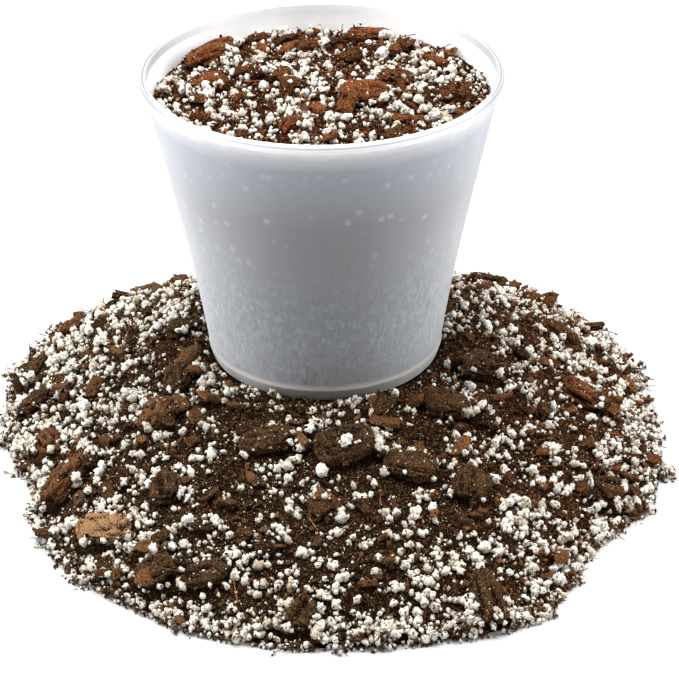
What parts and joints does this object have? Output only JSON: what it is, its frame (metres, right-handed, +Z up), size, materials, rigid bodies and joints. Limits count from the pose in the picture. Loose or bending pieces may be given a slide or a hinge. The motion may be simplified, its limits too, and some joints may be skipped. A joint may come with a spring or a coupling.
{
  "type": "pot of potting mix on a heap",
  "caption": "Tapered translucent plastic nursery pot filled with bark and perlite potting mix, standing on a low round heap of the same loose mix.",
  "frame": {"origin": "on the pot's axis, on the ground under the heap", "axes": "+Z up along the pot's axis; -Y is the side that the picture shows"},
  "size_m": [0.1896, 0.202, 0.1168],
  "materials": {
    "clear_plastic": "frosted translucent polypropylene, smooth rim",
    "potting_mix": "dark damp crumbs and fibres, matt",
    "bark": "rough broken bark, matt, reddish brown",
    "perlite": "cream white popped mineral, pitted, matt"
  },
  "bodies": {
    "root": {"heap_chip_01": "bark", "heap_chip_02": "bark", "heap_chip_03": "bark", "heap_chip_04": "bark", "heap_chip_05": "bark", "heap_chip_06": "bark", "heap_chip_07": "bark", "heap_chip_08": "bark", "heap_chip_09": "bark", "heap_chip_10": "bark", "heap_chip_11": "bark", "heap_chip_12": "bark", "heap_chip_13": "bark", "heap_chip_14": "bark", "heap_chip_15": "bark", "heap_chip_16": "bark", "heap_chip_17": "bark", "heap_chip_18": "bark", "heap_chip_19": "bark", "heap_chip_20": "bark", "heap_chip_21": "bark", "heap_chip_22": "bark", "heap_chip_23": "bark", "heap_chip_24": "bark", "heap_chip_25": "bark", "heap_chip_26": "bark", "heap_chip_27": "bark", "heap_chip_28": "bark", "heap_chip_29": "bark", "heap_chip_30": "bark", "heap_perlite_01": "perlite", "heap_perlite_02": "perlite", "heap_perlite_03": "perlite", "heap_perlite_04": "perlite", "heap_perlite_05": "perlite", "heap_perlite_06": "perlite", "heap_perlite_07": "perlite", "heap_perlite_08": "perlite", "mix_heap": "potting_mix", "mix_in_pot": "potting_mix", "pot": "clear_plastic", "pot_chip_01": "bark", "pot_chip_02": "bark", "pot_chip_03": "bark", "pot_chip_04": "bark", "pot_chip_05": "bark", "pot_chip_06": "bark", "pot_chip_07": "bark", "pot_chip_08": "bark", "pot_chip_09": "bark", "pot_chip_10": "bark", "pot_chip_11": "bark", "pot_chip_12": "bark", "pot_perlite_01": "perlite", "pot_perlite_02": "perlite", "pot_perlite_03": "perlite", "pot_perlite_04": "perlite", "pot_perlite_05": "perlite", "pot_perlite_06": "perlite"}
  },
  "joints": []
}
